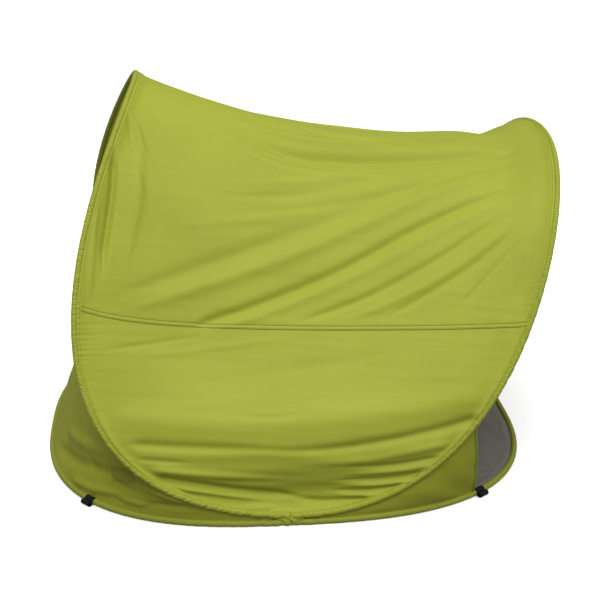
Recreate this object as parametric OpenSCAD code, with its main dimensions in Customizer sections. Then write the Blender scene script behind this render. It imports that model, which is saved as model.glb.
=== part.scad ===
// Pop-up beach and sun shelter. Two spring hoops cross at the left and right base corners.
// One half of each hoop lies on the ground and frames the floor, the other half stands as an arch.
// X runs from the left to the right base corner, -Y is the mouth, +Z is up.
// The origin is on the ground, halfway between the base corners.

/* [Hoops] */
// Distance between the left and right base corners, rod centre to rod centre
span = 1540; // [1400:10:1700]
// How far the floor reaches behind the base corners
floor_rear = 715; // [640:5:790]
// How far the floor reaches in front of the base corners
floor_front = 780; // [700:5:860]
// Squareness of the floor outline, where 2 is an ellipse
floor_power = 2.7; // [2.2:0.1:3.2]
// Rod diameter
rod_d = 6; // [4:0.5:8]
// Outer diameter of the sewn rod sleeves
sleeve_d = 20; // [17:0.5:24]
// Bore of the rod sleeves
sleeve_bore = 12; // [10:0.5:13]

/* [Arches] */
// Height of the crossing point of the arches above the ground
corner_z = 32; // [32:1:40]
// Top of the rear arch behind the base corners
rear_top_y = 407; // [360:5:450]
// Top of the rear arch above the ground
rear_top_z = 1157; // [1080:5:1220]
// How far the rear arch bulges backwards, low down
rear_bulge_low = 640; // [580:5:700]
// How far the rear arch bulges backwards, halfway up
rear_bulge_mid = 728; // [680:5:780]
// Top of the front arch in front of the base corners
front_top_y = 860; // [800:5:920]
// Top of the front arch above the ground
front_top_z = 974; // [900:5:1040]
// How far the front arch bulges forwards, low down
front_bulge_low = 650; // [590:5:710]
// How far the front arch bulges forwards, halfway up
front_bulge_mid = 776; // [720:5:830]

/* [Fabric] */
// Modelled thickness of the canopy cloth
cloth = 2; // [1.5:0.25:3]
// Depth of the saddle between the two arches
saddle_sag = 94; // [60:2:120]
// How far the side walls are drawn in between the arches
side_sag = 61; // [30:1:80]
// How far the slack side cloth bellies out, low down
side_belly = 70; // [0:2:80]
// How far the back wall is drawn in
back_sag = 40; // [20:2:60]
// Thickness of the floor sheet
floor_thick = 2; // [1.5:0.25:3]

/* [Webbing] */
// Width of the peg loops along the hoop
loop_w = 32; // [24:1:40]
// Inner diameter of the eye of a peg loop
loop_eye = 12; // [10:0.5:13]
// Thickness of the webbing
web = 2; // [1.5:0.25:2.5]

/* [Hidden] */

floor_z = sleeve_d / 2;          // centre height of the floor hoops
seam_gap = sleeve_d / 2 + 2;     // from a rod's centre to the cloth beside its sleeve
tie_w = 26;                      // base ties, along X
tie_l = 24;                      // base ties, along Y
tie_h = 42;                      // base ties, top above the ground
arch_start = 0.7;                // degrees along the arch, just clear of the base ties
panel_start = 5;                 // degrees, bottom point of the side panels
seam_front = 35.6;               // degrees, felled seam where it meets the front arch
seam_rise = 5;                   // degrees that the seam rises towards the rear arch
seam_kick = 1.6;                 // further degrees that it curves up close to the rear arch
back_start = 7;                  // degrees, bottom corners of the back wall
wing_from = 0.2;                 // fraction of a wing's length left to the base tie
wing_to = 0.97;                  // its free edge, just behind the binding
wing_floor = 39;                 // degrees along the floor hoop covered by a front wing
wing_arch = 22;                  // degrees along the front arch covered by a front wing
front_loop_at = 41;              // degrees along the floor hoop of the front peg loops
rear_loop_at = 47;               // degrees along the floor hoop of the rear peg loops
loop_reach = 18.5;               // outwards from the hoop's centre to the eye of a peg loop
binding_d = 7;                   // rolled edge binding of the front wings
joiner_d = 8.5;                  // crimped tube that closes each hoop
joiner_l = 60;

lime = "#aeb63f";
deep_green = "#6f7625";
sleeve_green = "#a3ab3a";
floor_grey = "#6b6a62";
black = "#1b1b1e";

function mix(a, b, s) = a * (1 - s) + b * s;
function unit(v) = v / norm(v);
function power(b, e) = sign(b) * pow(abs(b), e);
function bezier(h, p) = pow(1 - h, 3) * p[0] + 3 * pow(1 - h, 2) * h * p[1]
    + 3 * (1 - h) * h * h * p[2] + pow(h, 3) * p[3];

// Side profiles [y, z] of the arches, from a base corner to the top
rear_profile = [[0, corner_z], [rear_bulge_low, 64], [rear_bulge_mid, 538], [rear_top_y, rear_top_z]];
front_profile = [[0, corner_z], [-front_bulge_low, 10], [-front_bulge_mid, 781], [-front_top_y, front_top_z]];

// Points on the hoops: t runs from 0 at the left corner to 180 at the right corner
function arch_point(t, profile) = let (q = bezier(sin(t), profile)) [-span / 2 * cos(t), q[0], q[1]];
function rear_arch(t) = arch_point(t, rear_profile);
function front_arch(t) = arch_point(t, front_profile);
function floor_point(t, reach, inset = 0) =
    [-(span / 2 - inset) * power(cos(t), 2 / floor_power),
     (reach - sign(reach) * inset) * power(sin(t), 2 / floor_power), floor_z];
function floor_out(t, reach) = let (d = floor_point(t + 0.5, reach) - floor_point(t - 0.5, reach))
    unit([-d[1], d[0], 0] * sign(reach));

// Points on the cloth: s runs from one hoop to the other
function bump(t, at, width) = exp(-pow((t - at) / width, 2));
function drawn_in(t) = side_sag * sin(2 * t) - side_belly * (bump(t, 23, 11) - bump(180 - t, 23, 11));
function canopy(t, s) = mix(rear_arch(t), front_arch(t), s)
    + 4 * s * (1 - s) * [drawn_in(t), 0, -saddle_sag * pow(sin(t), 2)];
function back(t, s) = mix(floor_point(t, floor_rear), rear_arch(t), s)
    - [0, 4 * s * (1 - s) * back_sag * sin(t), 0];
function wing(k, s) = mix(floor_point(k * wing_floor, -floor_front), front_arch(k * wing_arch), s);
function seam(s) = seam_front + seam_rise * (1 - s) + seam_kick * pow(1 - s, 11);

// Closed sheet between two matching grids of points, outer and inner
module sheet(outer, inner) {
    rows = len(outer);
    cols = len(outer[0]);
    n = rows * cols;
    points = [for (grid = [outer, inner]) for (row = grid) for (p = row) p];
    rim = concat([for (j = [0 : cols - 1]) j], [for (i = [1 : rows - 1]) i * cols + cols - 1],
        [for (j = [cols - 2 : -1 : 0]) (rows - 1) * cols + j], [for (i = [rows - 2 : -1 : 1]) i * cols]);
    quads = [for (i = [0 : rows - 2]) for (j = [0 : cols - 2])
        [i * cols + j, i * cols + j + 1, (i + 1) * cols + j + 1, (i + 1) * cols + j]];
    top = [for (q = quads) for (f = [[q[0], q[2], q[1]], [q[0], q[3], q[2]]]) f];
    bottom = [for (q = quads) for (f = [[q[0], q[1], q[2]], [q[0], q[2], q[3]]]) [for (v = f) v + n]];
    m = len(rim);
    side = [for (i = [0 : m - 1]) let (a = rim[i], b = rim[(i + 1) % m])
        for (f = [[a, b, b + n], [a, b + n, a + n]]) f];
    polyhedron(points, concat(top, bottom, side), convexity = 6);
}

// Grid of surface points moved along the surface normal by a distance
function grid(f, us, vs, out) = [for (u = us) [for (v = vs)
    let (e = 0.004, p = f(u, v), du = f(u + e, v) - f(u - e, v), dv = f(u, v + e) - f(u, v - e))
    p + out * unit(cross(du, dv))]];

function steps(a, b, n) = [for (i = [0 : n]) a + (b - a) * i / n];

// Rings of points around a path, each ring square to the path
function rings(path, r, sides, toward) = [for (i = [0 : len(path) - 1])
    let (t = unit(path[min(i + 1, len(path) - 1)] - path[max(i - 1, 0)]),
         w = toward - path[i] * (toward == [0, 0, 1] ? 0 : 1),
         a = unit(w - (w * t) * t), b = cross(t, a))
    [for (k = [0 : sides - 1]) path[i] + r * (cos(360 * k / sides) * a + sin(360 * k / sides) * b)]];

// Solid rod along a path
module rod(path, d, toward, sides = 8) {
    r = rings(path, d / 2, sides, toward);
    n = len(path);
    wall = [for (i = [0 : n - 2]) for (k = [0 : sides - 1])
        let (a = i * sides + k, b = i * sides + (k + 1) % sides)
        for (f = [[a, b + sides, b], [a, a + sides, b + sides]]) f];
    ends = [[for (k = [0 : sides - 1]) k], [for (k = [sides - 1 : -1 : 0]) (n - 1) * sides + k]];
    polyhedron([for (ring = r) for (p = ring) p], concat(wall, ends), convexity = 6);
}

// Hollow sleeve along a path
module sleeve(path, toward, sides = 10) {
    outer = rings(path, sleeve_d / 2, sides, toward);
    inner = rings(path, sleeve_bore / 2, sides, toward);
    n = len(path);
    m = n * sides;
    wall = [for (i = [0 : n - 2]) for (k = [0 : sides - 1])
        let (a = i * sides + k, b = i * sides + (k + 1) % sides)
        for (f = [[a, b + sides, b], [a, a + sides, b + sides],
            [a + m, b + m, b + sides + m], [a + m, b + sides + m, a + sides + m]]) f];
    ends = [for (k = [0 : sides - 1]) let (l = (k + 1) % sides, e = (n - 1) * sides)
        for (f = [[k, l, l + m], [k, l + m, k + m],
            [e + k, e + l + m, e + l], [e + k, e + k + m, e + l + m]]) f];
    polyhedron([for (g = [outer, inner]) for (ring = g) for (p = ring) p], concat(wall, ends), convexity = 8);
}

arch_path_rear = [for (t = steps(arch_start, 180 - arch_start, 56)) rear_arch(t)];
arch_path_front = [for (t = steps(arch_start, 180 - arch_start, 56)) front_arch(t)];
function floor_path(reach, from, n = 56) = [for (t = steps(from, 180 - from, n)) floor_point(t, reach)];
arch_centre = [0, 0, 300];
up = [0, 0, 1];

// Distance from a point to a path
function segment_gap(p, a, b) = let (d = b - a, k = max(0, min(1, (p - a) * d / (d * d)))) norm(p - a - k * d);
function path_gap(p, path) = min([for (i = [1 : len(path) - 1]) segment_gap(p, path[i - 1], path[i])]);

// How far across a panel its cloth starts, from the side of one hoop, to stay clear of that hoop's sleeve
function first_clear(line, path, s = 0) =
    path_gap(line(s), path) >= seam_gap || s > 0.48 ? s : first_clear(line, path, s + 0.0025);
function edge_table(us, cloth_at, path, flip = false) = [for (u = us)
    [u, first_clear(function (s) cloth_at(u, flip ? 1 - s : s), path)]];

module floor_sheet() {
    outline = concat([for (t = steps(0, 180, 40)) floor_point(t, floor_rear, seam_gap)],
        [for (t = steps(180, 0, 40)) if (t > 0 && t < 180) floor_point(t, -floor_front, seam_gap)]);
    color(floor_grey) linear_extrude(floor_thick) polygon([for (p = outline) [p[0], p[1]]]);
}

module rear_floor_rod() color(black) rod(floor_path(floor_rear, 0.02), rod_d, up);
module front_floor_rod() color(black) rod(floor_path(-floor_front, 0.02), rod_d, up);
module rear_arch_rod() color(black) rod(arch_path_rear, rod_d, arch_centre);
module front_arch_rod() color(black) rod(arch_path_front, rod_d, arch_centre);

// Short crimped tube halfway along the ground half of a hoop
module joiner(reach) translate([0, reach, floor_z]) rotate([0, 90, 0]) difference() {
    cylinder(h = joiner_l, d = joiner_d, center = true, $fn = 32);
    cylinder(h = joiner_l + 2, d = rod_d + 0.8, center = true, $fn = 32);
}
module rear_rod_joiner() color("silver") joiner(floor_rear);
module front_rod_joiner() color("silver") joiner(-floor_front);

module rear_floor_sleeve() color(sleeve_green) sleeve(floor_path(floor_rear, 0.35), up);
module front_floor_sleeve() color(sleeve_green) sleeve(floor_path(-floor_front, 0.35), up);
module rear_arch_sleeve() color(sleeve_green) sleeve(arch_path_rear, arch_centre);
module front_arch_sleeve() color(sleeve_green) sleeve(arch_path_front, arch_centre);

// Sewn patch that ties the two hoops where they cross, with the floor hoop through it
module base_tie() translate([0, tie_l / 2, 0]) rotate([90, 0, 0]) difference() {
    linear_extrude(tie_l) {
        translate([0, tie_w / 2]) circle(d = tie_w, $fn = 32);
        translate([0, tie_h - tie_w / 2]) circle(d = tie_w, $fn = 32);
        translate([-tie_w / 2, tie_w / 2]) square([tie_w, tie_h - tie_w]);
    }
    translate([0, floor_z, -1]) cylinder(h = tie_l + 2, d = rod_d + 2, $fn = 32);
}
module left_base_tie() color(sleeve_green) translate([-span / 2, 0, 0]) base_tie();
module right_base_tie() color(sleeve_green) translate([span / 2, 0, 0]) base_tie();

// Where the cloth of each panel meets its two hoops, along the left half of the shelter
left_half = concat(steps(panel_start, 12, 7), steps(14, 90, 19));
wing_steps = steps(wing_from, 1, 8);
canopy_rear_edge = edge_table(left_half, function (t, s) canopy(t, s), arch_path_rear);
canopy_front_edge = edge_table(left_half, function (t, s) canopy(t, s), arch_path_front, true);
back_floor_edge = edge_table(left_half, function (t, s) back(t, s), floor_path(floor_rear, 0.35));
back_arch_edge = edge_table(left_half, function (t, s) back(t, s), arch_path_rear, true);
wing_floor_edge = edge_table(wing_steps, function (k, s) wing(k, s), floor_path(-floor_front, 0.35));
wing_arch_edge = edge_table(wing_steps, function (k, s) wing(k, s), arch_path_front, true);

// A fraction across the cloth itself, as a fraction of the way between the two hoops
function across(u, s, near, far) = mix(lookup(u, near), 1 - lookup(u, far), s);
function canopy_clear(t, s) = canopy(t, across(min(t, 180 - t), s, canopy_rear_edge, canopy_front_edge));
function side_cloth(k, s) = canopy_clear(panel_start + k * (seam(s) - 0.15 - panel_start), s);
function roof_cloth(k, s) = canopy_clear(seam(s) + 0.15 + k * (180 - 2 * seam(s) - 0.3), s);
function back_clear(k, s) = let (t = back_start + k * (180 - 2 * back_start))
    back(t, across(min(t, 180 - t), s, back_floor_edge, back_arch_edge));
function wing_cloth(k, s) = let (u = wing_from + k * (wing_to - wing_from))
    wing(u, across(u, s, wing_floor_edge, wing_arch_edge));

module side_panel() sheet(grid(function (k, s) side_cloth(k, s), steps(0, 1, 15), steps(0, 1, 12), -cloth / 2),
    grid(function (k, s) side_cloth(k, s), steps(0, 1, 15), steps(0, 1, 12), cloth / 2));
module left_side_panel() color(lime) side_panel();
module right_side_panel() color(lime) mirror([1, 0, 0]) side_panel();
module roof_panel() color(lime)
    sheet(grid(function (k, s) roof_cloth(k, s), steps(0, 1, 32), steps(0, 1, 12), -cloth / 2),
        grid(function (k, s) roof_cloth(k, s), steps(0, 1, 32), steps(0, 1, 12), cloth / 2));
module back_wall() color(deep_green)
    sheet(grid(function (k, s) back_clear(k, s), steps(0, 1, 36), steps(0, 1, 6), -cloth / 2),
        grid(function (k, s) back_clear(k, s), steps(0, 1, 36), steps(0, 1, 6), cloth / 2));

module front_wing() sheet(grid(function (k, s) wing_cloth(k, s), steps(0, 1, 12), steps(0, 1, 5), -cloth / 2),
    grid(function (k, s) wing_cloth(k, s), steps(0, 1, 12), steps(0, 1, 5), cloth / 2));
module left_front_wing() color(deep_green) front_wing();
module right_front_wing() color(deep_green) mirror([1, 0, 0]) front_wing();

module wing_binding() rod([for (s = steps(0.08, 0.92, 10)) wing(1, s)], binding_d, up);
module left_wing_binding() color(sleeve_green) wing_binding();
module right_wing_binding() color(sleeve_green) mirror([1, 0, 0]) wing_binding();

// Small pocket sewn inside the back wall beside the left base corner
function pocket_cloth(k, s) = back(26 + 10 * k, 0.3 + 0.4 * s);
module left_inner_pocket() color(deep_green)
    sheet(grid(function (k, s) pocket_cloth(k, s), steps(0, 1, 4), steps(0, 1, 4), 5),
        grid(function (k, s) pocket_cloth(k, s), steps(0, 1, 4), steps(0, 1, 4), 7));

// Webbing peg loop: a strap that hugs the outer side of the rod sleeve and carries an eye for the peg
module peg_loop() rotate([90, 0, 0]) linear_extrude(loop_w, center = true) difference() {
    hug = sleeve_d / 2 + 0.4;
    ring = loop_eye / 2 + web;
    union() {
        translate([loop_reach, ring + 0.3]) circle(r = ring, $fn = 48);
        translate([0, floor_z]) intersection() {
            circle(r = hug + web, $fn = 96);
            polygon([[0, 0], for (a = [-25, 5, 35]) 30 * [cos(a), sin(a)]]);
        }
    }
    translate([loop_reach, ring + 0.3]) circle(d = loop_eye, $fn = 48);
    translate([0, floor_z]) circle(r = hug, $fn = 96);
}
module peg_loop_at(t, reach) {
    p = floor_point(t, reach);
    o = floor_out(t, reach);
    translate([p[0], p[1], 0]) rotate([0, 0, atan2(o[1], o[0])]) peg_loop();
}
module front_left_peg_loop() color(black) peg_loop_at(front_loop_at, -floor_front);
module front_right_peg_loop() color(black) peg_loop_at(180 - front_loop_at, -floor_front);
module rear_left_peg_loop() color(black) peg_loop_at(rear_loop_at, floor_rear);
module rear_right_peg_loop() color(black) peg_loop_at(180 - rear_loop_at, floor_rear);

floor_sheet();
rear_floor_rod();
front_floor_rod();
rear_rod_joiner();
front_rod_joiner();
rear_floor_sleeve();
front_floor_sleeve();
rear_arch_rod();
front_arch_rod();
rear_arch_sleeve();
front_arch_sleeve();
left_base_tie();
right_base_tie();
roof_panel();
left_side_panel();
right_side_panel();
back_wall();
left_front_wing();
right_front_wing();
left_wing_binding();
right_wing_binding();
left_inner_pocket();
front_left_peg_loop();
front_right_peg_loop();
rear_left_peg_loop();
rear_right_peg_loop();
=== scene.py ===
import math

import bpy
import numpy as np
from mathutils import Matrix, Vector


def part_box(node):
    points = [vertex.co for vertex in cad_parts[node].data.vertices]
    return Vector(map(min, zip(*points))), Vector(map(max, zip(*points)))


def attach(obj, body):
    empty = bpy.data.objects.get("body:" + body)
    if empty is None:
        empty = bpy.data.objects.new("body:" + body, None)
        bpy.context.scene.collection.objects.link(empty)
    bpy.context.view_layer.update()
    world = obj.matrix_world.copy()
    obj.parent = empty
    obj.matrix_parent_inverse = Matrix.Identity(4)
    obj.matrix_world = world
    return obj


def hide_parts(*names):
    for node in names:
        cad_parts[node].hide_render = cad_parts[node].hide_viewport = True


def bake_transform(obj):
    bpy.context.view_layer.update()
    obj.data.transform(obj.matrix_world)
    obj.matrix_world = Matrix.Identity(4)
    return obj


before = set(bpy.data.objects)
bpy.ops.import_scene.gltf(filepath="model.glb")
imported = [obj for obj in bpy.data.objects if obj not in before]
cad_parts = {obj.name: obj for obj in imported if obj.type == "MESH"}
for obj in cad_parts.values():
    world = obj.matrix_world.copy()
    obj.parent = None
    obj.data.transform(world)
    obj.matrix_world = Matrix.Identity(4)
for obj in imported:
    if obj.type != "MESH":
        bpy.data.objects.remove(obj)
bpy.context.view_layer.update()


# ---------------------------------------------------------------- dimensions, from the frame

def middle(node):
    low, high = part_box(node)
    return (low + high) / 2


# Radii, spans and heights, in metres. The floor hoop is a rounded oblong of the given power. It reaches
# FLOOR_REAR behind the base corners and FLOOR_FRONT before them.
ROD_R = 0.003
SLEEVE_R = 0.010
SPAN = middle("right_base_tie").x - middle("left_base_tie").x
FLOOR_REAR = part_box("rear_floor_rod")[1].y - ROD_R
FLOOR_FRONT = -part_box("front_floor_rod")[0].y - ROD_R
FLOOR_Z = middle("rear_floor_rod").z
FLOOR_POWER = 2.7
CORNER_Z = 0.032

# Side views of the two arches, each a Bezier curve of (y, z) from a base corner to the top.
REAR_TOP = (0.407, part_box("rear_arch_rod")[1].z - ROD_R)
FRONT_TOP = (-0.860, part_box("front_arch_rod")[1].z - ROD_R)
REAR_PROFILE = [(0, CORNER_Z), (0.640, 0.064), (0.728, 0.538), REAR_TOP]
FRONT_PROFILE = [(0, CORNER_Z), (-0.650, 0.010), (-0.776, 0.781), FRONT_TOP]

# How far each panel sags or bellies between its edges, in metres.
SADDLE_SAG = 0.094
SIDE_SAG = 0.061
SIDE_BELLY = 0.070
BACK_SAG = 0.040

# Places along an arch or the floor hoop, in degrees from the left base corner. 90 is the middle.
BELLY_AT = 23
BELLY_SPREAD = 11
WING_FLOOR = 39
WING_ARCH = 22
SEAM_FRONT = 35.6
SEAM_RISE = 5
SEAM_KICK = 1.6
STITCH_ROW = 0.30  # from the middle of the seam
FRONT_LOOP_AT = 41
REAR_LOOP_AT = 47

# Cloth and webbing, in metres.
SEAM_DEGREE = 0.0205  # width of one degree of the canopy at its seams
ARCH_STITCH_INSET = 0.0125
WEBBING_WIDTH = 0.036
WEBBING_THICKNESS = 0.0018
PEG_EYE_R = 0.006
PEG_EYE_AT = 0.0185

LOWEST_Z = 0.0003  # the sleeves and loops stay this far above the ground
ARCH_CENTRE = np.array([0, 0, 0.3])  # the arch sleeves' cross-sections are turned to face this point
UP = np.array([0.0, 0.0, 1.0])


# ---------------------------------------------------------------- curves and surfaces

def same_shape(*values):
    return np.broadcast_arrays(*[np.asarray(v, float) for v in values])


def sind(a):
    return np.sin(np.radians(a))


def cosd(a):
    return np.cos(np.radians(a))


def bezier(h, points):
    p = np.array(points)
    h = np.asarray(h, float)[..., None]
    g = 1 - h
    return g**3 * p[0] + 3 * g * g * h * p[1] + 3 * g * h * h * p[2] + h**3 * p[3]


def arch(t, profile):
    q = bezier(sind(t), profile)
    return np.stack([-SPAN / 2 * cosd(t), q[..., 0], q[..., 1]], -1)


def rear_arch(t):
    return arch(t, REAR_PROFILE)


def front_arch(t):
    return arch(t, FRONT_PROFILE)


def signed_power(base, power):
    return np.sign(base) * np.abs(base) ** power


def floor_hoop(t, reach):
    t = np.asarray(t, float)
    x = -SPAN / 2 * signed_power(cosd(t), 2 / FLOOR_POWER)
    y = reach * signed_power(sind(t), 2 / FLOOR_POWER)
    return np.stack([x, y, np.full_like(t, FLOOR_Z)], -1)


def rear_hoop(t):
    return floor_hoop(t, FLOOR_REAR)


def front_hoop(t):
    return floor_hoop(t, -FLOOR_FRONT)


def mix(a, b, s):
    return a * (1 - s)[..., None] + b * s[..., None]


def bump(t, at, width):
    """A soft hump of height 1."""
    return np.exp(-(((t - at) / width) ** 2))


def drawn_in(t):
    """How far the side cloth is drawn in halfway between the arches. Low down it bellies out instead."""
    left = bump(t, BELLY_AT, BELLY_SPREAD)
    right = bump(180 - t, BELLY_AT, BELLY_SPREAD)
    return SIDE_SAG * sind(2 * t) - SIDE_BELLY * (left - right)


def halfway(s):
    """0 at both edges of a panel and 1 halfway across it."""
    return 4 * s * (1 - s)


def canopy_base(t, s):
    """The smooth saddle: t is degrees up the arches, and s goes from the rear arch to the front one."""
    t, s = same_shape(t, s)
    p = mix(rear_arch(t), front_arch(t), s)
    p[..., 0] += halfway(s) * drawn_in(t)
    p[..., 2] -= SADDLE_SAG * halfway(s) * sind(t) ** 2
    return p


def back_base(t, s):
    """The smooth back wall: s goes from the floor hoop to the rear arch."""
    t, s = same_shape(t, s)
    p = mix(rear_hoop(t), rear_arch(t), s)
    p[..., 1] -= BACK_SAG * halfway(s) * sind(t)
    return p


def wing_base(k, s):
    """The smooth left wing: k goes from base corner to free edge, and s from the floor to the arch."""
    k, s = same_shape(k, s)
    return mix(front_hoop(k * WING_FLOOR), front_arch(k * WING_ARCH), s)


def unit(v):
    return v / np.maximum(np.linalg.norm(v, axis=-1, keepdims=True), 1e-12)


def running_length(path):
    """Length along a path up to each of its points."""
    return np.concatenate([[0], np.cumsum(np.linalg.norm(np.diff(path, axis=0), axis=1))])


def arc_length(curve, t):
    """Length along a curve up to t degrees."""
    table = np.linspace(0, 180, 721)
    return np.interp(t, table, running_length(curve(table)))


def normal_of(surface, u, v, du=0.3, dv=0.004):
    a = surface(u + du, v) - surface(u - du, v)
    b = surface(u, v + dv) - surface(u, v - dv)
    return unit(np.cross(a, b))


# ---------------------------------------------------------------- folds

def smooth(x):
    """A soft step that is 0 up to 0 and 1 from 1 on."""
    x = np.clip(x, 0, 1)
    return x * x * (3 - 2 * x)


def spline(points, per_span=14):
    """Points of a smooth line through the given (t, s) points."""
    p = np.array(points, float)
    if len(p) == 2:
        return p[0] + (p[1] - p[0]) * np.linspace(0, 1, per_span)[:, None]
    p = np.vstack([2 * p[0] - p[1], p, 2 * p[-1] - p[-2]])
    out = []
    for i in range(1, len(p) - 2):
        for q in np.linspace(0, 1, per_span, endpoint=False):
            a, b, c, d = p[i - 1 : i + 3]
            out.append(
                0.5 * (2 * b + (c - a) * q + (2 * a - 5 * b + 4 * c - d) * q**2
                       + (3 * b - a - 3 * c + d) * q**3)
            )
    return np.array(out + [p[-2]])


def fold_height(surface, points, path, height, width, ends):
    """Height of one fold at the given points: a soft ridge, or valley, along a path on the surface."""
    line = spline(path)
    line = surface(line[:, 0], line[:, 1])
    starts, spans = line[:-1], np.diff(line, axis=0)
    lengths = np.linalg.norm(spans, axis=1)
    along = np.concatenate([[0], np.cumsum(lengths)]) / lengths.sum()
    low, high = line.min(0) - 3 * width, line.max(0) + 3 * width
    near = np.all((points > low) & (points < high), axis=-1)
    out = np.zeros(points.shape[:-1])
    p = points[near]
    if not len(p):
        return out
    nearest = np.full(len(p), np.inf)
    where = np.zeros(len(p))
    for i, (start, span) in enumerate(zip(starts, spans)):
        share = np.clip(((p - start) @ span) / (lengths[i] ** 2), 0, 1)
        distance = np.linalg.norm(p - (start + share[:, None] * span), axis=1)
        closer = distance < nearest
        nearest[closer] = distance[closer]
        where[closer] = (along[i] + share * (along[i + 1] - along[i]))[closer]
    taper = smooth(where / ends[0]) * smooth((1 - where) / ends[1])
    spread = width * (0.55 + 0.45 * taper)
    out[near] = height * taper * np.exp(-((nearest / spread) ** 2))
    return out


def ripple(points, direction, wavelength, seed, n=7, stretch=6.0):
    """Soft random waves that run along a direction, from -1 to 1."""
    r = np.random.default_rng(seed)
    d = unit(np.array(direction, float))
    out = np.zeros(points.shape[:-1])
    for _ in range(n):
        across = r.normal(size=3)
        across = unit(across - (across @ d) * d)
        k = 2 * math.pi / (wavelength * r.uniform(0.6, 1.7))
        wave = across + d * r.uniform(-1, 1) / stretch
        out += np.sin(points @ (wave * k) + r.uniform(0, 6.28)) / n * 1.6
    return out


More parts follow.
